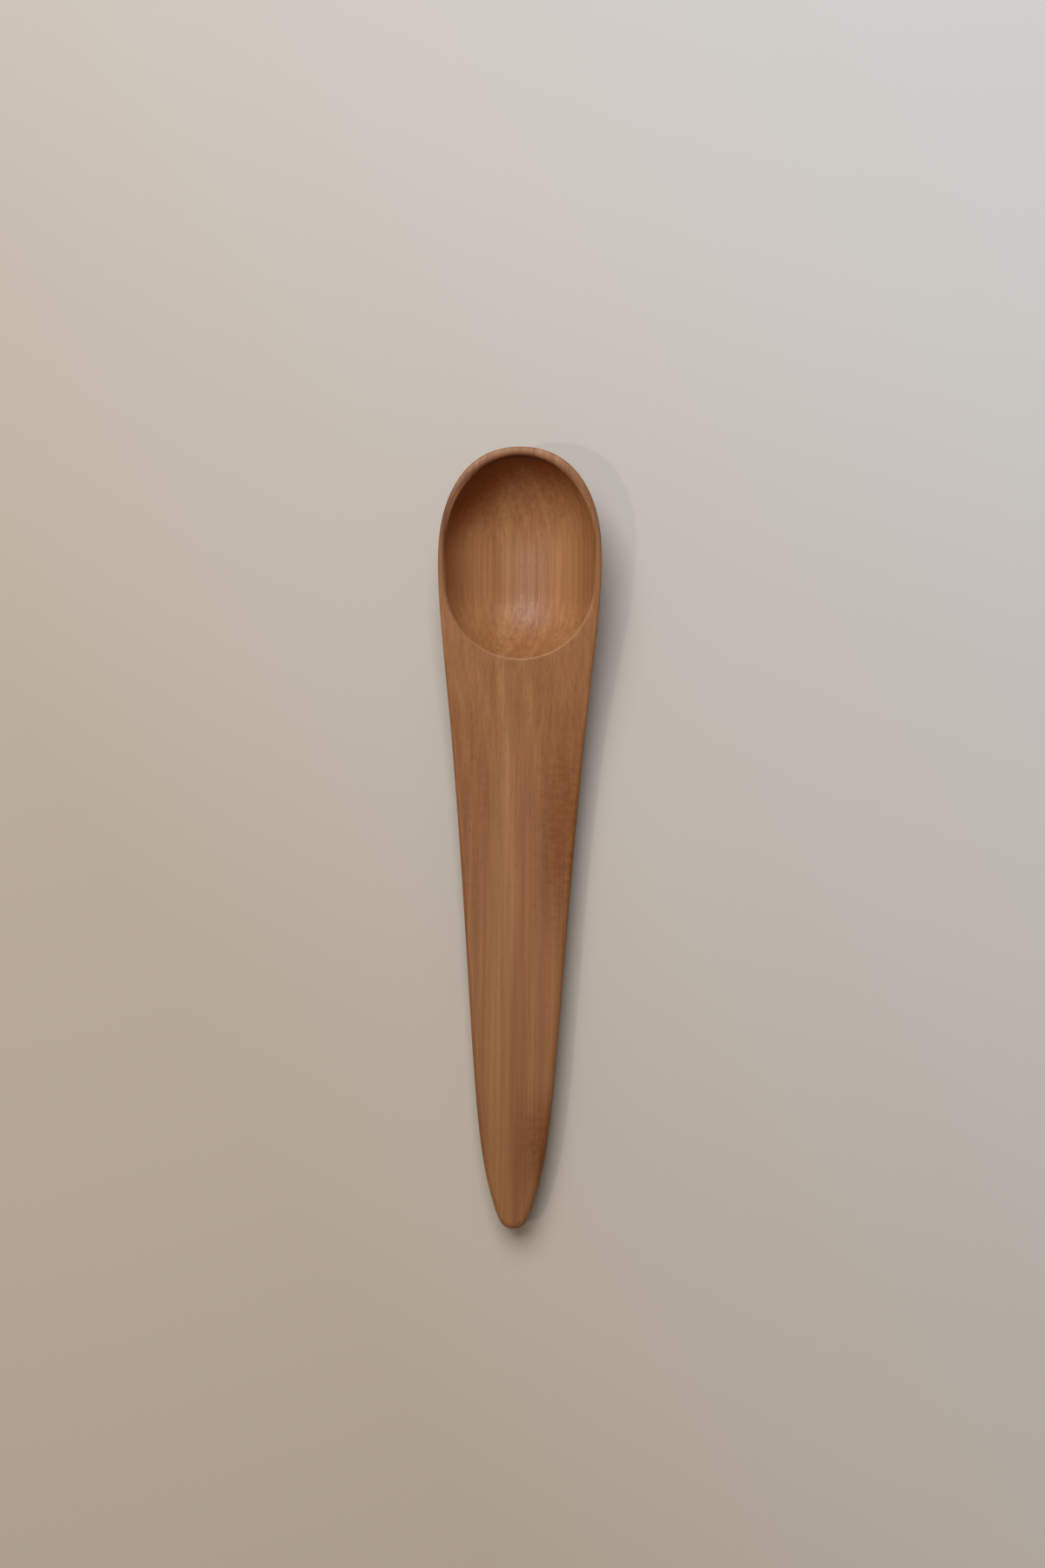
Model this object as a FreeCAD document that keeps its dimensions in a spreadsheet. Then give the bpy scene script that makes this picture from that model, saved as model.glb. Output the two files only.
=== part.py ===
import FreeCAD, Part
import math
import os
import Sketcher
from FreeCAD import Vector

# A tea scoop carved from one piece of wood. It lies on its flat sole, with the bowl towards +Y
# and its mouth up. The origin is on the ground, under the middle of the scoop's length.
# It is sawn to a top line and a plan outline, its underside is rounded like a keel and its bowl
# is hollowed, and then its upper edges are rounded over, by radii that change along the edge.

doc = FreeCAD.newDocument("tea_scoop_model")
sheet = doc.addObject("Spreadsheet::Sheet", "sizes")

# Driving sizes in millimetres
driving_sizes = {
    # whole scoop
    "overall_length": 150.0,     # front of the bowl to the tip of the handle
    "bowl_length": 40.5,         # front of the bowl to the start of the handle
    "rim_height": 14.0,          # ground to the rim at the front of the bowl
    "handle_height": 7.3,        # ground to the level top of the handle
    # plan outline: full widths of the control points that its fair curve is drawn by
    "bowl_width": 31.2,
    "grip_width": 19.6,
    "tail_width": 14.2,
    "tip_width": 7.2,
    "tip_flat": 4.8,
    # hollow
    "rim_wall": 1.35,            # wood beside the hollow, at the rim's widest place
    "nose_wall": 1.55,           # wood in front of the hollow, at the rim
    "rim_dip": 0.65,             # fall of the rim from the front to its widest place
    "floor_thickness": 3.0,      # wood under the deepest line of the hollow
    # underside
    "sole_width": 6.0,           # flat strip that it lies on
    "bow_reach": 25.0,           # length of the sweep up under the bowl
    "bow_rise": 8.8,             # height of that sweep at the front
    "stern_reach": 15.0,         # length of the sweep up under the tip
    "stern_rise": 4.0,           # height of that sweep at the tip
    # radii of the outer top edge: at the front, at the tip
    "rim_round": 0.4,
    "tip_round": 1.2,
    # radii of the hollow's edge: round the front, at the end of the sides, at the handle
    "lip_round": 0.6,
    "lip_end_round": 0.4,
    "arris_round": 0.12,
    # stock beyond the sawn faces
    "overrun": 1.0,
}
for row, (alias, value) in enumerate(driving_sizes.items(), start=1):
    sheet.set(f"A{row}", alias)
    sheet.set(f"B{row}", str(value))
    sheet.setAlias(f"B{row}", alias)
doc.recompute()

# Places worked out from the driving sizes
front = "sizes.overall_length / 2"
handle_length = "(sizes.overall_length - sizes.bowl_length)"
stock_front = f"({front} + sizes.overrun)"
bow_start = f"({front} - sizes.bow_reach)"
stern_start = f"(sizes.stern_reach - {front})"
bow_radius = "(sizes.bow_reach ^ 2 + sizes.bow_rise ^ 2) / (2 * sizes.bow_rise)"
stern_radius = "(sizes.stern_reach ^ 2 + sizes.stern_rise ^ 2) / (2 * sizes.stern_rise)"

# The hollow is a ball drawn along a short floor line, and a longer round end in front of it. The
# ball's radius follows from the half width and the depth at the rim's widest place. The line and
# the front end are shares of the bowl's length, as the outline round them is. The end's own share
# is its length at the height of the rim, and it reaches further at the height of the axis.
nose_share = 0.438
floor_share = 0.1914
nose_length = f"({nose_share} * sizes.bowl_length)"
hollow_half = "(sizes.bowl_width / 2 - sizes.rim_wall)"
hollow_depth = "(sizes.rim_height - sizes.rim_dip - sizes.floor_thickness)"
ball_radius = f"(({hollow_half} ^ 2 + {hollow_depth} ^ 2) / (2 * {hollow_depth}))"
ball_height = f"(sizes.floor_thickness + {ball_radius})"
nose_reach = f"({nose_length} / sqrt(1 - (({ball_height} - sizes.rim_height) / {ball_radius}) ^ 2))"
floor_front = f"({front} - sizes.nose_wall - {nose_length})"
floor_back = f"({floor_front} - {floor_share} * sizes.bowl_length)"

# The underside is round about the hollow's axis, and passes through both edges of the sole
keel_radius = f"sqrt({ball_height} ^ 2 + (sizes.sole_width / 2) ^ 2)"

# Control points of the plan outline, from the front to the tip:
# (width that it follows, share of its half, share along the bowl, share along the handle)
outline_shares = (
    ("bowl_width", 0.0, 0.0, 0.0),
    ("bowl_width", 0.481, 0.0, 0.0),
    ("bowl_width", 0.997, 0.222, 0.0),
    ("bowl_width", 1.024, 0.644, 0.0),
    ("bowl_width", 0.840, 1.0, 0.090),
    ("grip_width", 1.0, 1.0, 0.463),
    ("tail_width", 1.0, 1.0, 0.859),
    ("tip_width", 1.0, 1.0, 0.963),
    ("tip_flat", 1.0, 1.0, 1.0),
    ("tip_flat", 0.0, 1.0, 1.0),
)

# Control points of the hollow's front end, a quarter of an oval, from the floor to the axis:
# (share of the reach, share of the ball's radius under the axis)
nose_shares = ((0.0, 1.0), (0.5523, 1.0), (1.0, 0.5523), (1.0, 0.0))

# Control points of the top line seen from the side, from the front to the tip:
# (share of the rise from handle to rim, share along the bowl, share along the handle)
top_line_shares = (
    (1.0, 0.0, 0.0),
    (0.985, 0.420, 0.0),
    (0.840, 0.815, 0.0),
    (0.105, 1.0, 0.130),
    (-0.040, 1.0, 0.390),
    (0.0, 1.0, 0.730),
    (0.0, 1.0, 1.0),
)


def size(expression):
    # the value that an expression of the sheet's sizes has now
    return float(sheet.evalExpression(expression))


def origin_plane(body, role):
    return [item for item in body.Origin.OriginFeatures if item.Role == role][0]


def add_sketch(body, name, role):
    sketch = body.newObject("Sketcher::SketchObject", name)
    sketch.AttachmentSupport = (origin_plane(body, role), [""])
    sketch.MapMode = "FlatFace"
    return sketch


def point(across, along):
    return Vector(size(across), size(along), 0)


def pin(sketch, geometry, end, across, along):
    # fixes a point by its distances from the origin along the sketch's two axes
    for kind, axis, distance in (("DistanceX", -2, across), ("DistanceY", -1, along)):
        if distance == "0":
            sketch.addConstraint(Sketcher.Constraint("PointOnObject", geometry, end, axis))
        else:
            link = Sketcher.Constraint(kind, -1, 1, geometry, end, size(distance))
            sketch.setExpression(f"Constraints[{sketch.addConstraint(link)}]", distance)


def join(sketch, first, first_end, second, second_end):
    sketch.addConstraint(Sketcher.Constraint("Coincident", first, first_end, second, second_end))


def add_fair_curve(sketch, places):
    # a smooth curve drawn by control points; returns its number, which theirs follow
    degree = 3
    ends = [degree + 1]
    multiplicities = ends + [1] * (len(places) - degree - 1) + ends
    knots = [float(knot) for knot in range(len(multiplicities))]
    curve = Part.BSplineCurve()
    curve.buildFromPolesMultsKnots([point(*place) for place in places], multiplicities, knots, False, degree)
    spline = sketch.addGeometry(curve, False)
    sketch.exposeInternalGeometry(spline)
    return spline


def add_arc(sketch, centre, radius, start_angle, end_angle):
    circle = Part.Circle(point(*centre), Vector(0, 0, 1), radius)
    arc = Part.ArcOfCircle(circle, math.radians(start_angle), math.radians(end_angle))
    return sketch.addGeometry(arc, False)


def add_line(sketch, start, end):
    return sketch.addGeometry(Part.LineSegment(point(*start), point(*end)), False)


def draw_side_silhouette(sketch):
    # across the sketch is along the scoop, up the sketch is height
    rise = "(sizes.rim_height - sizes.handle_height)"
    top_places = []
    for rise_share, bowl_share, handle_share in top_line_shares:
        along = (
            f"{stock_front} - {bowl_share} * (sizes.bowl_length + sizes.overrun)"
            f" - {handle_share} * ({handle_length} + sizes.overrun)"
        )
        top_places.append((along, f"sizes.handle_height + {rise_share} * {rise}"))
    top_line = add_fair_curve(sketch, top_places)
    for number, place in enumerate(top_places, start=1):
        pin(sketch, top_line + number, 3, *place)

    nose_foot = (stock_front, "0")
    tail_foot = (f"-{stock_front}", "0")
    nose = add_line(sketch, top_places[0], nose_foot)
    sole = add_line(sketch, nose_foot, tail_foot)
    tail = add_line(sketch, tail_foot, top_places[-1])
    join(sketch, top_line, 1, nose, 1)
    join(sketch, nose, 2, sole, 1)
    join(sketch, sole, 2, tail, 1)
    join(sketch, tail, 2, top_line, 2)
    pin(sketch, sole, 1, *nose_foot)
    pin(sketch, sole, 2, *tail_foot)


def draw_plan_waste(sketch):
    # the outline's two sides inside the border of the stock
    right_places = []
    left_places = []
    for width, width_share, bowl_share, handle_share in outline_shares:
        half = f"{width_share} * sizes.{width} / 2" if width_share else "0"
        along = f"{front} - {bowl_share} * sizes.bowl_length - {handle_share} * {handle_length}"
        right_places.append((half, along))
        left_places.append((f"-{half}" if width_share else "0", along))
    right = add_fair_curve(sketch, right_places)
    left = add_fair_curve(sketch, left_places)
    last = len(right_places)
    for number, place in enumerate(right_places, start=1):
        pin(sketch, right + number, 3, *place)
        if 1 < number < last:
            mirror = Sketcher.Constraint("Symmetric", right + number, 3, left + number, 3, -2)
            sketch.addConstraint(mirror)
    join(sketch, right, 1, left, 1)
    join(sketch, right, 2, left, 2)

    side = "(sizes.bowl_width / 2 + 2 * sizes.overrun)"
    end = f"({front} + 2 * sizes.overrun)"
    corners = ((side, end), (f"-{side}", end), (f"-{side}", f"-{end}"), (side, f"-{end}"))
    border = [add_line(sketch, corner, corners[number - 3]) for number, corner in enumerate(corners)]
    for number, line in enumerate(border):
        join(sketch, line, 2, border[number - 3], 1)
        pin(sketch, line, 1, *corners[number])


def draw_keel_waste(sketch):
    # what lies outside the keel, under the axis that it is turned about
    keel = f"-{keel_radius}"
    low = f"-({keel_radius} + sizes.bowl_width / 2)"
    bow_height = f"{keel} + {bow_radius}"
    stern_height = f"{keel} + {stern_radius}"
    bow_angle = math.degrees(math.asin(size(f"(sizes.bow_reach + sizes.overrun) / ({bow_radius})")))
    stern_angle = math.degrees(math.asin(size(f"(sizes.stern_reach + sizes.overrun) / ({stern_radius})")))
    bow = add_arc(sketch, (bow_start, bow_height), size(bow_radius), 270, 270 + bow_angle)
    line = add_line(sketch, (bow_start, keel), (stern_start, keel))
    stern = add_arc(sketch, (stern_start, stern_height), size(stern_radius), 270 - stern_angle, 270)
    pin(sketch, bow, 3, bow_start, bow_height)
    pin(sketch, stern, 3, stern_start, stern_height)
    pin(sketch, line, 1, bow_start, keel)
    pin(sketch, line, 2, stern_start, keel)
    join(sketch, bow, 1, line, 1)
    join(sketch, line, 2, stern, 2)

    bow_top = f"{bow_height} - sqrt(({bow_radius}) ^ 2 - (sizes.bow_reach + sizes.overrun) ^ 2)"
    stern_top = f"{stern_height} - sqrt(({stern_radius}) ^ 2 - (sizes.stern_reach + sizes.overrun) ^ 2)"
    front_end = add_line(sketch, (stock_front, bow_top), (stock_front, low))
    bottom = add_line(sketch, (stock_front, low), (f"-{stock_front}", low))
    back_end = add_line(sketch, (f"-{stock_front}", low), (f"-{stock_front}", stern_top))
    join(sketch, bow, 2, front_end, 1)
    join(sketch, front_end, 2, bottom, 1)
    join(sketch, bottom, 2, back_end, 1)
    join(sketch, back_end, 2, stern, 1)
    pin(sketch, bottom, 1, stock_front, low)
    pin(sketch, bottom, 2, f"-{stock_front}", low)
    sketch.addConstraint(Sketcher.Constraint("Vertical", front_end))
    sketch.addConstraint(Sketcher.Constraint("Vertical", back_end))


def draw_hollow(sketch):
    # the keel of the hollow, under the axis that it is turned about
    low = f"-{ball_radius}"
    nose_places = []
    for reach_share, depth_share in nose_shares:
        height = f"-{depth_share} * {ball_radius}" if depth_share else "0"
        nose_places.append((f"{floor_front} + {reach_share} * {nose_reach}", height))
    rear_end = add_arc(sketch, (floor_back, "0"), size(ball_radius), 180, 270)
    floor = add_line(sketch, (floor_back, low), (floor_front, low))
    axis = add_line(sketch, nose_places[-1], (f"{floor_back} - {ball_radius}", "0"))
    nose = add_fair_curve(sketch, nose_places)
    for number, place in enumerate(nose_places, start=1):
        pin(sketch, nose + number, 3, *place)
    pin(sketch, rear_end, 3, floor_back, "0")
    pin(sketch, floor, 1, floor_back, low)
    join(sketch, rear_end, 2, floor, 1)
    join(sketch, floor, 2, nose, 1)
    join(sketch, nose, 2, axis, 1)
    join(sketch, axis, 2, rear_end, 1)
    sketch.addConstraint(Sketcher.Constraint("PointOnObject", axis, 2, -1))


# Sawn and hollowed blank
blank = doc.addObject("PartDesign::Body", "hollowed_blank")

side_sketch = add_sketch(blank, "side_silhouette", "YZ_Plane")
draw_side_silhouette(side_sketch)
side_form = blank.newObject("PartDesign::Pad", "side_form")
side_form.Profile = side_sketch
side_form.Midplane = True
side_form.setExpression("Length", "sizes.bowl_width + 2 * sizes.overrun")
doc.recompute()

plan_sketch = add_sketch(blank, "plan_waste", "XY_Plane")
draw_plan_waste(plan_sketch)
plan_form = blank.newObject("PartDesign::Pocket", "plan_form")
plan_form.Profile = plan_sketch
plan_form.Type = "ThroughAll"
plan_form.Reversed = True
doc.recompute()

keel_sketch = add_sketch(blank, "keel_waste", "YZ_Plane")
keel_sketch.setExpression("AttachmentOffset.Base.y", ball_height)
draw_keel_waste(keel_sketch)
keel_form = blank.newObject("PartDesign::Groove", "keel_form")
keel_form.Profile = keel_sketch
keel_form.ReferenceAxis = (keel_sketch, ["H_Axis"])
keel_form.Angle = 360
doc.recompute()

hollow_sketch = add_sketch(blank, "hollow_profile", "YZ_Plane")
hollow_sketch.setExpression("AttachmentOffset.Base.y", ball_height)
draw_hollow(hollow_sketch)
hollow = blank.newObject("PartDesign::Groove", "hollow")
hollow.Profile = hollow_sketch
hollow.ReferenceAxis = (hollow_sketch, ["H_Axis"])
hollow.Angle = 360
doc.recompute()


# the least slope at which a face counts as top or underside, and not as a side
steep = math.sin(math.radians(45))


def face_kind(face):
    # where a face of the blank lies, told by the way it looks and by its distance from the axis
    start_u, end_u, start_v, end_v = face.ParameterRange
    middle = ((start_u + end_u) / 2, (start_v + end_v) / 2)
    up = face.normalAt(*middle).z
    if up < -steep:
        return "underside"
    if isinstance(face.Surface, Part.SurfaceOfExtrusion):
        return "top" if up > steep else "side"
    return "hollow"


def edges_between(shape, first_kind, second_kind):
    # numbers and edges that two kinds of faces share
    found = []
    for number, edge in enumerate(shape.Edges, start=1):
        kinds = {face_kind(face) for face in shape.ancestorsOfType(edge, Part.Face)}
        if kinds == {first_kind, second_kind}:
            found.append((number, edge))
    return found


def radius_along(stations, along):
    # radius between stations of (place along the scoop, radius), from the tip to the front
    for (start, start_radius), (end, end_radius) in zip(stations, stations[1:]):
        if along <= end:
            share = max(0.0, (along - start) / (end - start))
            return start_radius + share * (end_radius - start_radius)
    return stations[-1][1]


def edge_ends(edge):
    return [edge.valueAt(edge.FirstParameter), edge.valueAt(edge.LastParameter)]


def edge_radii(loop, stations):
    # walks round a closed loop from its edge nearest the front, where the radius is even:
    # each edge's number, and its radii where the walk comes in and where it goes out
    waiting = sorted(loop, key=lambda item: -item[1].BoundBox.Center.y)
    number, edge = waiting.pop(0)
    start, end = edge_ends(edge)
    radii = [(number, radius_along(stations, start.y), radius_along(stations, end.y))]
    while waiting:
        waiting.sort(key=lambda item: min(end.distanceToPoint(place) for place in edge_ends(item[1])))
        number, edge = waiting.pop(0)
        start, end = sorted(edge_ends(edge), key=end.distanceToPoint)
        radii.append((number, radius_along(stations, start.y), radius_along(stations, end.y)))
    return radii


def stations_of(*pairs):
    return [(size(place), size(radius)) for place, radius in pairs]


back = f"-{front}"
top_stations = stations_of((back, "sizes.tip_round"), (front, "sizes.rim_round"))
hollow_stations = stations_of(
    (f"{floor_back} - {ball_radius}", "sizes.arris_round"),
    (floor_back, "sizes.lip_end_round"),
    (floor_front, "sizes.lip_round"),
    (front, "sizes.lip_round"),
)

# Rounded over: the outer top edge, and the lip that sharpens into the arris
scoop = doc.addObject("Part::Fillet", "tea_scoop")
scoop.Base = blank
scoop.Edges = (
    edge_radii(edges_between(blank.Shape, "top", "side"), top_stations)
    + edge_radii(edges_between(blank.Shape, "top", "hollow"), hollow_stations)
)
scoop.Label = "tea_scoop"
doc.recompute()

for item in doc.Objects:
    if "Invalid" in item.State or "Error" in item.State:
        raise RuntimeError(f"{item.Name} failed: {item.State}")
for form in (side_form, plan_form, keel_form, hollow, scoop):
    print(form.Name, "volume", round(form.Shape.Volume, 1), "faces", len(form.Shape.Faces))
    if form.Shape.isNull() or not form.Shape.isValid():
        raise RuntimeError(f"{form.Name} has no valid shape")
volumes = [form.Shape.Volume for form in (side_form, plan_form, keel_form, hollow, scoop)]
if volumes != sorted(volumes, reverse=True):
    raise RuntimeError("a cut took nothing away")
print("solids", len(scoop.Shape.Solids), "box", scoop.Shape.BoundBox)

os.makedirs("parts", exist_ok=True)
for part in (scoop,):
    part.Shape.exportStep(f"parts/{part.Label}.step")
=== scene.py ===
import math

import bpy
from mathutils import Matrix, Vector


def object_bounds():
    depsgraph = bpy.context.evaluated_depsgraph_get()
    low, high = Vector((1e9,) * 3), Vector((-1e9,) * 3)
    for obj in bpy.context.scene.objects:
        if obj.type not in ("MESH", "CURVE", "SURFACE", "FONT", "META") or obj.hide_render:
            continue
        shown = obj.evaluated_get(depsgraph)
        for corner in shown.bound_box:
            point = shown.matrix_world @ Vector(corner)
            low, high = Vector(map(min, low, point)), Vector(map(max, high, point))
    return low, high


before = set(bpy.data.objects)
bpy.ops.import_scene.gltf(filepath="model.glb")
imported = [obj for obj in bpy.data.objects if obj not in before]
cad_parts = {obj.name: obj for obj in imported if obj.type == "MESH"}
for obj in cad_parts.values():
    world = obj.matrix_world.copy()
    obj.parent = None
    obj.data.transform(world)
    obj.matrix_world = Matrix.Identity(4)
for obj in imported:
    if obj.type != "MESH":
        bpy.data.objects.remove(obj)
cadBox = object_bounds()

# A tea scoop carved from one piece of fruit wood, seen from straight above on a pale table.
# Metres; +Y is the bowl's end, +Z is up.

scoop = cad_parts["tea_scoop"]
halfWidth, front, rimTop = cadBox[1]    # the bowl's widest place, its front and the top of its rim
print("scoop loaded", len(scoop.data.polygons), "faces")


def addNode(tree, kind, inputs=None, **settings):
    # inputs are values or links, by name or number, and settings are properties of the node
    node = tree.nodes.new(kind)
    for name, value in settings.items():
        setattr(node, name, value)
    for name, value in (inputs or {}).items():
        if isinstance(value, bpy.types.NodeSocket):
            tree.links.new(value, node.inputs[name])
        else:
            node.inputs[name].default_value = value
    return node


def addMath(tree, operation, first, second=0.0, third=0.0):
    inputs = {0: first, 1: second, 2: third}
    return addNode(tree, "ShaderNodeMath", inputs, operation=operation).outputs[0]


def multiply(tree, first, *others):
    for other in others:
        first = addMath(tree, "MULTIPLY", first, other)
    return first


def distance(tree, first, second):
    # how far two steps at right angles to each other lead
    squares = addMath(tree, "MULTIPLY_ADD", first, first, multiply(tree, second, second))
    return addMath(tree, "SQRT", squares)


def remap(tree, value, low, high, newLow=0.0, newHigh=1.0):
    # low..high becomes newLow..newHigh by a smooth step, and stays inside it
    inputs = {"Value": value, "From Min": low, "From Max": high, "To Min": newLow, "To Max": newHigh}
    return addNode(tree, "ShaderNodeMapRange", inputs, interpolation_type="SMOOTHSTEP").outputs[0]


def fadeOut(tree, value, low, high):
    return remap(tree, value, low, high, 1.0, 0.0)


def bell(tree, value, middle, spread):
    # one at the middle, one half at the spread, nothing from twice the spread on
    away = addMath(tree, "ABSOLUTE", addMath(tree, "SUBTRACT", value, middle))
    return fadeOut(tree, away, 0.0, 2 * spread)


def tint(tree, mode, share, below, above):
    # "above" laid over "below" by a share
    inputs = {0: share, 6: below, 7: above}
    return addNode(tree, "ShaderNodeMix", inputs, data_type="RGBA", blend_type=mode).outputs[2]


def addNoise(tree, place, repeats, detail, roughness):
    # repeats per metre across, along and up the scoop
    stretched = addNode(tree, "ShaderNodeVectorMath", {0: place, 1: repeats}, operation="MULTIPLY")
    inputs = {"Vector": stretched.outputs[0], "Scale": 1.0, "Detail": detail, "Roughness": roughness}
    return addNode(tree, "ShaderNodeTexNoise", inputs).outputs[0]


# A noise is its repeats per metre, its detail and its roughness. A bell is its middle and spread.
# A range is where something begins and ends.
wood = {
    # growth rings about the heart of the tree, which lies beside the scoop
    "pith": (-0.046, -0.030),                       # across and up from the middle of the sole
    "ringWidth": 0.0021,
    "slowWaves": ((38.0, 11.0, 38.0), 2.0, 0.5),    # noise
    "slowBend": 0.0052,                             # how far the slow waves push the rings
    "fineWaves": ((260.0, 42.0, 260.0), 2.0, 0.6),  # noise
    "fineBend": 0.0007,
    "ringRise": (0.15, 0.86),                       # part of each ring in which it darkens
    "ringFall": (0.88, 1.0),                        # part in which it ends
    "weakestRing": 0.25,                            # the strongest is 1
    "ringShare": 0.28,
    "ringColour": (0.199, 0.069, 0.017, 1.0),

    # bands of two browns, several rings wide
    "bandRepeats": 420.0,                           # per metre away from the heart
    "bandDetail": 2.0,
    "bandRoughness": 0.55,
    "bandRange": (0.30, 0.70),                      # of the noise, from the one to the other
    "pinkish": (0.275, 0.106, 0.036, 1.0),
    "yellowish": (0.302, 0.129, 0.043, 1.0),

    # pale streak down the handle
    "streakDrift": 0.004,                           # how far the slow waves move the streaks
    "streakAcross": (-0.0028, 0.0011),              # bell
    "streakShare": 0.42,
    "paleStreak": (0.352, 0.175, 0.062, 1.0),

    # redder, flecked bands at the two edges of the handle, in two patches each. The right band, which
    # closes in along the right edge towards the tip, is also painted shade where the handle's rounded
    # right side turns away from the lamps
    "shadedRedRight": (0.0086, 0.0044),                   # bell across
    "redSlope": 0.038,                              # how the right band closes in towards the tip
    "redLeft": (-0.0088, 0.0036),                   # bell across
    "redLeftShare": 0.50,
    "redUpper": (front - 0.073, 0.017),             # bells along
    "redLower": (front - 0.134, 0.007),
    "redInPatches": 1.15,
    "redBetween": 0.06,
    "flecks": ((620.0, 1150.0, 620.0), 2.5, 0.6),   # noise
    "fleckRange": (0.34, 0.68, 0.66, 1.0),          # of the noise, and the share of red there
    "redFigureAndShade": (0.176, 0.050, 0.003, 1.0),

    # lighter bands on the hollow's two side walls: partly pale bands of the wood, partly painted light
    # that lifts walls the lamps leave too dark
    "hollowStart": (front - 0.041, front - 0.029),  # ranges along
    "hollowEnd": (front - 0.018, front - 0.007),
    "paleAndLitBands": (((0.0084, 0.0030), 0.85), ((-0.0088, 0.0028), 0.55)),    # bells across, shares
    "paleAndLitWall": (0.356, 0.163, 0.061, 1.0),

    # darker towards the tip
    "darkerTowardsTipAlong": (front - 0.165, front - 0.025),
    "darkerTowardsTip": (0.72, 0.67, 0.52, 1.0),

    # fibres, wider lines and pores along the grain
    "fibres": ((2600.0, 34.0, 2600.0), 3.0, 0.6),   # noise
    "fibreRange": (0.28, 0.72),
    "fibreDark": (0.90, 0.88, 0.86, 1.0),
    "fibreLight": (1.09, 1.11, 1.13, 1.0),
    "lines": ((1250.0, 13.0, 1250.0), 2.0, 0.5),    # noise
    "lineRange": (0.30, 0.70),
    "lineDark": (0.91, 0.88, 0.86, 1.0),
    "lineLight": (1.08, 1.11, 1.13, 1.0),
    "pores": ((6200.0, 520.0, 6200.0), 1.0, 0.5),   # noise
    "poreRange": (0.60, 0.74),
    "poreShare": 0.24,
    "poreColour": (0.120, 0.040, 0.014, 1.0),

    # painted highlight: a lighter line where the sloping top behind the hollow cuts the ball that it is
    # drawn by, standing in for the glint on that edge's tiny round
    "ballCentre": (front - 0.02704, rimTop + 0.004),    # along and up
    "ballRadius": 0.01499,
    "topPlace": (front - 0.0401, rimTop - 0.00324),     # a place on the top, along and up
    "topSlope": 0.155,
    "edgeSpread": 0.00009,
    "edgeAlong": (-0.005, 0.001),                   # range from the ball's centre
    "edgeAbove": (rimTop - 0.0045, rimTop - 0.0035),
    "edgeShare": 0.55,
    "paintedEdgeHighlight": (0.520, 0.330, 0.200, 1.0),

    # painted shade on the inner half of the rim round the front, where the rim rounds down into the
    # hollow
    "frontCentre": front - 0.0162,                  # the front of the rim is round about this place
    "rimInner": (halfWidth - 0.0019, halfWidth - 0.0012),           # ranges outward
    "rimOuter": (halfWidth - 0.0013, halfWidth + 0.0002),
    "rimAlong": (front - 0.035, front - 0.017),
    "rimAcross": (-0.004, 0.010, 1.0, 0.55),        # range, and the share of painted shade there
    "rimAbove": (rimTop - 0.0015, rimTop - 0.0007),
    "paintedRimShade": (0.40, 0.26, 0.13, 1.0),

    # painted shade on the steep wall inside the front, strongest where it faces away from the lamps on
    # the left, with some darkening of its end grain
    "facingSide": 0.35,                             # weights of the normal's parts
    "facingRight": 0.25,
    "facingFront": -0.90,
    "shadeFacing": (0.42, 0.86),
    "shadeAlong": (front - 0.035, front - 0.015),
    "endGrainAndShade": (0.55, 0.28, 0.010, 1.0),

    # surface
    "softAlong": (front - 0.033, front - 0.019, 0.0001, 0.0008),    # range, and the edges' radius there
    "softSamples": 8,
    "fibreHeight": 0.35,                            # as a share of the pores' depth
    "poreDepth": 0.00006,
    "bumpStrength": 0.35,
    "roughness": (0.3, 0.7, 0.54, 0.40),            # range of the fibres, and the roughness there
    "specular": 0.4,
    "refraction": 1.48,
}


def colourRings(tree, place, x, z, slow):
    # the distance from the heart, bent by the waves, counts the rings
    across = addMath(tree, "SUBTRACT", x, wood["pith"][0])
    up = addMath(tree, "SUBTRACT", z, wood["pith"][1])
    fine = addNoise(tree, place, *wood["fineWaves"])
    radius = addMath(tree, "MULTIPLY_ADD", slow, wood["slowBend"], distance(tree, across, up))
    radius = addMath(tree, "MULTIPLY_ADD", fine, wood["fineBend"], radius)
    rings = addMath(tree, "DIVIDE", radius, wood["ringWidth"])

    # each ring darkens slowly and ends sharply, and rings differ in strength
    phase = addMath(tree, "FRACT", rings)
    rise = remap(tree, phase, *wood["ringRise"])
    fall = fadeOut(tree, phase, *wood["ringFall"])
    chance = addNode(tree, "ShaderNodeTexWhiteNoise", {"W": addMath(tree, "FLOOR", rings)},
                     noise_dimensions="1D")
    strength = remap(tree, chance.outputs["Value"], 0.0, 1.0, wood["weakestRing"], 1.0)
    ring = multiply(tree, rise, fall, strength, wood["ringShare"])

    bands = addNode(tree, "ShaderNodeTexNoise", {
        "W": multiply(tree, radius, wood["bandRepeats"]), "Scale": 1.0,
        "Detail": wood["bandDetail"], "Roughness": wood["bandRoughness"]}, noise_dimensions="1D")
    band = remap(tree, bands.outputs[0], *wood["bandRange"])
    colour = tint(tree, "MIX", band, wood["pinkish"], wood["yellowish"])
    return tint(tree, "MIX", ring, colour, wood["ringColour"])


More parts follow.
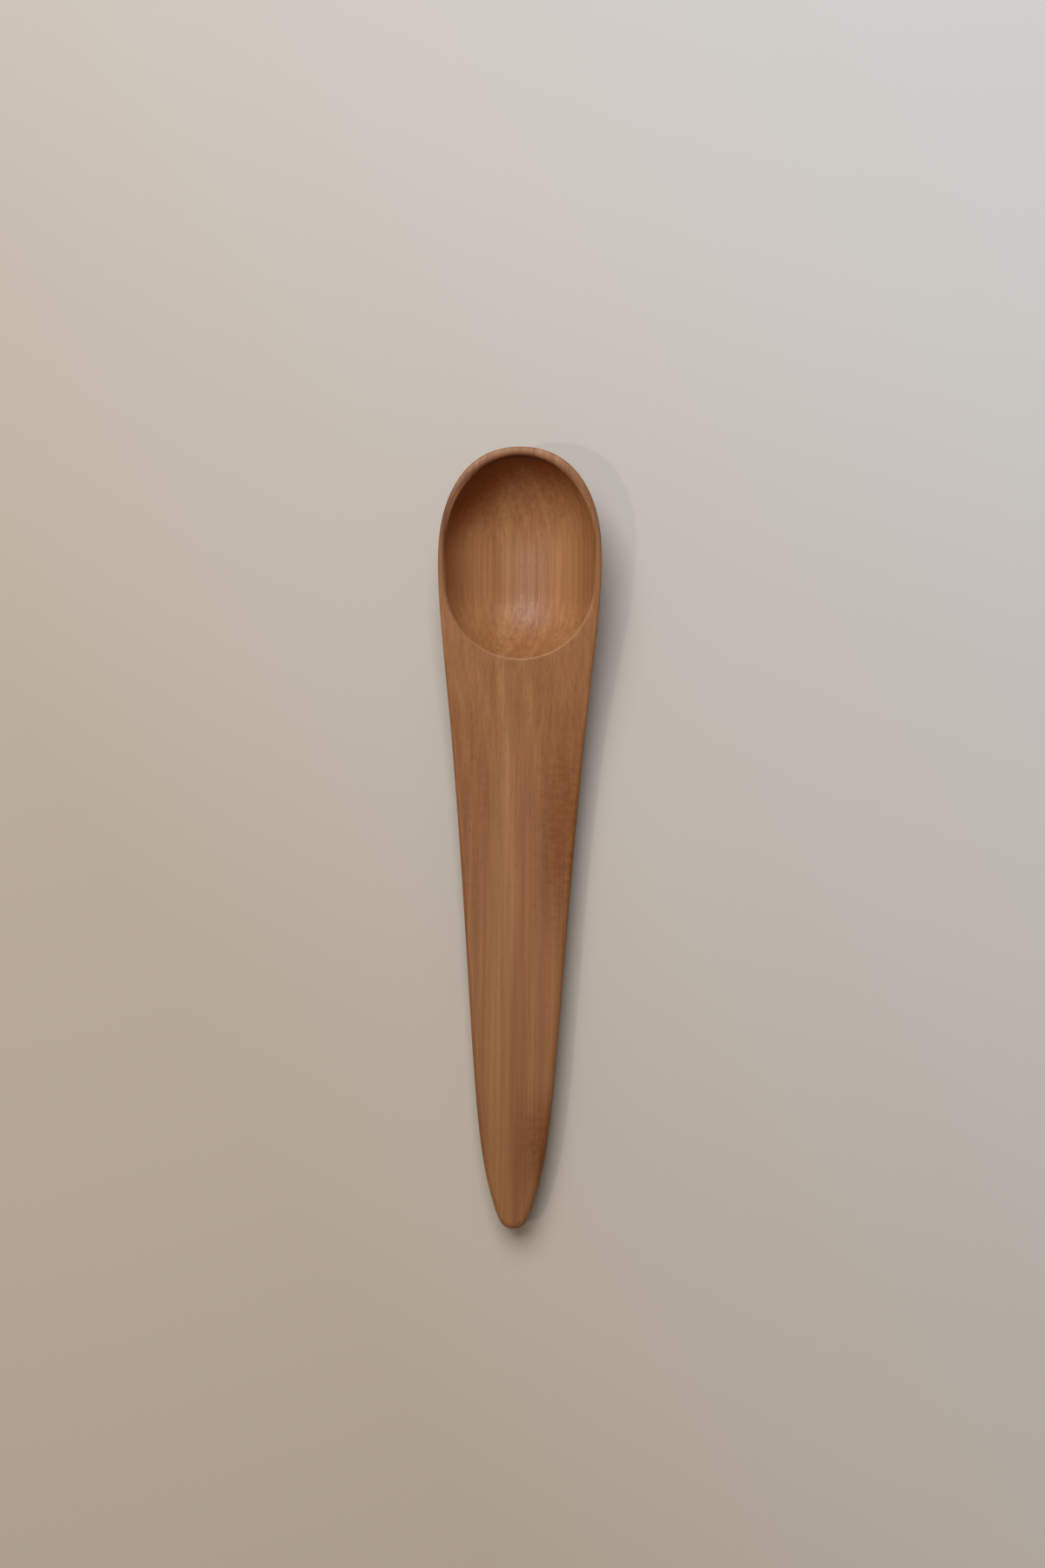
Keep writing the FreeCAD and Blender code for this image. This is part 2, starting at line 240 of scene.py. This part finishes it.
def addStreaks(tree, place, x, y, slow, colour):
    # the waves lie about one half, so half of the drift is taken off first
    start = addMath(tree, "ADD", x, -0.5 * wood["streakDrift"])
    drift = addMath(tree, "MULTIPLY_ADD", slow, wood["streakDrift"], start)
    pale = multiply(tree, bell(tree, drift, *wood["streakAcross"]), wood["streakShare"])
    colour = tint(tree, "MIX", pale, colour, wood["paleStreak"])

    # the right band is partly painted shade along the handle's right side, and partly the wood's red
    # flecked figure
    leaning = addMath(tree, "MULTIPLY_ADD", y, -wood["redSlope"], drift)
    red = bell(tree, leaning, *wood["shadedRedRight"])
    redLeft = bell(tree, drift, *wood["redLeft"])
    red = addMath(tree, "MULTIPLY_ADD", redLeft, wood["redLeftShare"], red)
    flecks = remap(tree, addNoise(tree, place, *wood["flecks"]), *wood["fleckRange"])
    patches = addMath(tree, "ADD", bell(tree, y, *wood["redUpper"]), bell(tree, y, *wood["redLower"]))
    patches = addMath(tree, "MULTIPLY_ADD", patches, wood["redInPatches"], wood["redBetween"])
    return tint(tree, "MIX", multiply(tree, red, flecks, patches), colour, wood["redFigureAndShade"])


def addPaleAndLitWalls(tree, x, y, colour):
    # painted light on the hollow's side walls, together with pale bands of the wood
    inHollow = remap(tree, y, *wood["hollowStart"])
    inHollow = multiply(tree, inHollow, fadeOut(tree, y, *wood["hollowEnd"]))
    for across, share in wood["paleAndLitBands"]:
        light = multiply(tree, bell(tree, x, *across), inHollow, share)
        colour = tint(tree, "MIX", light, colour, wood["paleAndLitWall"])
    return colour


def addLines(tree, colour, share, dark, light):
    return tint(tree, "MULTIPLY", 1.0, colour, tint(tree, "MIX", share, dark, light))


def addPaintedEdgeHighlight(tree, x, y, z, colour):
    # where the top meets the ball, the ball is this far from its own upright axis
    centreY, centreZ = wood["ballCentre"]
    topY, topZ = wood["topPlace"]
    slope = wood["topSlope"]
    top = addMath(tree, "MULTIPLY_ADD", y, slope, topZ - slope * topY)
    drop = addMath(tree, "SUBTRACT", centreZ, top)
    squared = addMath(tree, "SUBTRACT", wood["ballRadius"] ** 2, multiply(tree, drop, drop))
    ballAway = addMath(tree, "SQRT", squared)

    fromCentre = addMath(tree, "SUBTRACT", y, centreY)
    beside = addMath(tree, "SUBTRACT", distance(tree, fromCentre, x), ballAway)
    # painted highlight along the sharp edge behind the hollow
    edge = multiply(tree, bell(tree, beside, 0.0, wood["edgeSpread"]),
                    fadeOut(tree, fromCentre, *wood["edgeAlong"]),
                    remap(tree, z, *wood["edgeAbove"]), wood["edgeShare"])
    return tint(tree, "MIX", edge, colour, wood["paintedEdgeHighlight"])


def addPaintedRimShade(tree, x, y, z, colour):
    # away from the middle line beside the hollow, and from the front centre round its front
    past = addMath(tree, "MAXIMUM", addMath(tree, "SUBTRACT", y, wood["frontCentre"]), 0.0)
    away = distance(tree, past, x)
    rim = multiply(tree, fadeOut(tree, away, *wood["rimOuter"]), remap(tree, away, *wood["rimInner"]),
                   remap(tree, y, *wood["rimAlong"]), remap(tree, x, *wood["rimAcross"]),
                   remap(tree, z, *wood["rimAbove"]))
    # the rim's inner half is darkened as painted shade
    return tint(tree, "MULTIPLY", rim, colour, wood["paintedRimShade"])


def addEndGrainAndShade(tree, y, colour):
    normal = addNode(tree, "ShaderNodeNewGeometry").outputs["Normal"]
    normal = addNode(tree, "ShaderNodeSeparateXYZ", {0: normal}).outputs
    facing = multiply(tree, addMath(tree, "ABSOLUTE", normal[0]), wood["facingSide"])
    facing = addMath(tree, "MULTIPLY_ADD", normal[0], wood["facingRight"], facing)
    facing = addMath(tree, "MULTIPLY_ADD", normal[1], wood["facingFront"], facing)
    # painted shade on the walls inside the front that face away from the lamps, with some end-grain
    # darkening
    shadeShare = remap(tree, facing, *wood["shadeFacing"])
    shadeShare = multiply(tree, shadeShare, remap(tree, y, *wood["shadeAlong"]))
    return tint(tree, "MULTIPLY", shadeShare, colour, wood["endGrainAndShade"])


def makeOiledWood():
    material = bpy.data.materials.new("oiledFruitWood")
    material.use_nodes = True
    tree = material.node_tree
    tree.nodes.clear()
    place = addNode(tree, "ShaderNodeTexCoord").outputs["Object"]
    x, y, z = addNode(tree, "ShaderNodeSeparateXYZ", {0: place}).outputs

    # slow waves along the tree bend every line of the grain together
    slow = addNoise(tree, place, *wood["slowWaves"])
    colour = colourRings(tree, place, x, z, slow)
    colour = addStreaks(tree, place, x, y, slow, colour)
    colour = addPaleAndLitWalls(tree, x, y, colour)
    colour = tint(tree, "MULTIPLY", fadeOut(tree, y, *wood["darkerTowardsTipAlong"]), colour, wood["darkerTowardsTip"])

    fibre = addNoise(tree, place, *wood["fibres"])
    fibreShare = remap(tree, fibre, *wood["fibreRange"])
    colour = addLines(tree, colour, fibreShare, wood["fibreDark"], wood["fibreLight"])
    lineShare = remap(tree, addNoise(tree, place, *wood["lines"]), *wood["lineRange"])
    colour = addLines(tree, colour, lineShare, wood["lineDark"], wood["lineLight"])
    pore = remap(tree, addNoise(tree, place, *wood["pores"]), *wood["poreRange"])
    colour = tint(tree, "MIX", multiply(tree, pore, wood["poreShare"]), colour, wood["poreColour"])

    colour = addPaintedEdgeHighlight(tree, x, y, z, colour)
    colour = addPaintedRimShade(tree, x, y, z, colour)
    colour = addEndGrainAndShade(tree, y, colour)

    # handling has softened the rim far more than the edge towards the handle
    soft = addNode(tree, "ShaderNodeBevel", {"Radius": remap(tree, y, *wood["softAlong"])},
                   samples=wood["softSamples"])
    height = addMath(tree, "SUBTRACT", multiply(tree, fibreShare, wood["fibreHeight"]), pore)
    bump = addNode(tree, "ShaderNodeBump", {
        "Normal": soft.outputs[0], "Height": height,
        "Strength": wood["bumpStrength"], "Distance": wood["poreDepth"]})
    shader = addNode(tree, "ShaderNodeBsdfPrincipled", {
        "Base Color": colour, "Roughness": remap(tree, fibre, *wood["roughness"]),
        "IOR": wood["refraction"], "Specular IOR Level": wood["specular"],
        "Normal": bump.outputs[0]})
    addNode(tree, "ShaderNodeOutputMaterial", {"Surface": shader.outputs[0]})
    return material


scoop.data.materials.clear()
scoop.data.materials.append(makeOiledWood())
print("wood finished")


# Painted light: the table is painted lighter and cooler towards the far right, where the window's light
# falls brighter.
tableTop = {
    "reach": 0.6,                       # from the middle to each side
    "gap": 0.00002,                     # under the sole, so that the two faces never coincide
    "paintedDimSide": (0.431, 0.352, 0.276, 1.0),
    "paintedLitSide": (0.556, 0.536, 0.525, 1.0),
    "towardsPaintedLight": (3.5, 2.0, 0.0),     # how the painted light's share rises per metre, across and along
    "paintedLightShare": 0.30,                  # its share in the middle
    "roughness": 0.62,
}


def makeTable():
    reach = tableTop["reach"]
    height = -tableTop["gap"]
    sides = ((-reach, -reach), (reach, -reach), (reach, reach), (-reach, reach))
    mesh = bpy.data.meshes.new("tableTop")
    mesh.from_pydata([(across, along, height) for across, along in sides], [], [(0, 1, 2, 3)])
    table = bpy.data.objects.new("tableTop", mesh)
    bpy.context.collection.objects.link(table)

    material = bpy.data.materials.new("paleTable")
    material.use_nodes = True
    tree = material.node_tree
    place = addNode(tree, "ShaderNodeTexCoord").outputs["Object"]
    rise = addNode(tree, "ShaderNodeVectorMath", {0: place, 1: tableTop["towardsPaintedLight"]},
                   operation="DOT_PRODUCT")
    share = addMath(tree, "ADD", rise.outputs["Value"], tableTop["paintedLightShare"])
    # painted light: lighter and cooler towards the far right
    colour = tint(tree, "MIX", share, tableTop["paintedDimSide"], tableTop["paintedLitSide"])
    shader = tree.nodes["Principled BSDF"]
    tree.links.new(colour, shader.inputs["Base Color"])
    shader.inputs["Roughness"].default_value = tableTop["roughness"]
    table.data.materials.append(material)


makeTable()
print("table laid")


# The window is wide and soft and stands past the bowl. The lamp is small and warm, on the left.
lamps = {
    "window": {"towards": (-0.21, 0.66, 1.0), "distance": 1.15, "width": 0.76, "height": 0.7,
               "power": 14.2, "colour": (0.90, 0.955, 1.0)},
    "roomLamp": {"towards": (-0.525, -0.14, 1.0), "distance": 1.1, "width": 0.035, "height": 0.035,
                 "power": 1.39, "colour": (1.0, 0.86, 0.70)},
}


def hangLamp(name, settings):
    data = bpy.data.lights.new(name, "AREA")
    data.shape = "RECTANGLE"
    data.size = settings["width"]
    data.size_y = settings["height"]
    data.energy = settings["power"]
    data.color = settings["colour"]
    lamp = bpy.data.objects.new(name, data)
    bpy.context.collection.objects.link(lamp)
    direction = Vector(settings["towards"]).normalized()
    lamp.location = direction * settings["distance"]
    lamp.rotation_mode = "QUATERNION"
    lamp.rotation_quaternion = direction.to_track_quat("Z", "Y")


for lampName, lampSettings in lamps.items():
    hangLamp(lampName, lampSettings)


room = {
    "glow": (1.0, 0.90, 0.80, 1.0),     # what lights the scoop from all around
    "glowStrength": 0.21,
    "wall": (0.47, 0.43, 0.395, 1.0),   # what is seen past the table, and reflected
    "wallStrength": 1.0,
}


def makeRoom():
    world = bpy.data.worlds.new("room")
    world.use_nodes = True
    tree = world.node_tree
    glow = tree.nodes["Background"]
    glow.inputs["Color"].default_value = room["glow"]
    glow.inputs["Strength"].default_value = room["glowStrength"]
    wallInputs = {"Color": room["wall"], "Strength": room["wallStrength"]}
    wall = addNode(tree, "ShaderNodeBackground", wallInputs)
    rays = addNode(tree, "ShaderNodeLightPath").outputs
    seen = addMath(tree, "MAXIMUM", rays["Is Camera Ray"], rays["Is Glossy Ray"])
    seen = addMath(tree, "MAXIMUM", seen, rays["Is Transmission Ray"])
    both = addNode(tree, "ShaderNodeMixShader", {0: seen, 1: glow.outputs[0], 2: wall.outputs[0]})
    tree.links.new(both.outputs[0], tree.nodes["World Output"].inputs["Surface"])
    bpy.context.scene.world = world


makeRoom()
print("lights hung")


view = {
    "place": (0.00093, 0.01095, 0.427),
    "turn": 0.59,       # degrees
    "lens": 50.0,       # millimetres, and so is the sensor
    "sensor": 36.0,
    "nearest": 0.01,
}


def setUpCamera():
    data = bpy.data.cameras.new("camera")
    data.lens = view["lens"]
    data.sensor_width = view["sensor"]
    data.clip_start = view["nearest"]
    camera = bpy.data.objects.new("camera", data)
    bpy.context.collection.objects.link(camera)
    camera.location = view["place"]
    camera.rotation_euler = (0, 0, math.radians(view["turn"]))
    bpy.context.scene.camera = camera


setUpCamera()
bpy.context.scene.view_settings.view_transform = "Standard"
print("camera set")
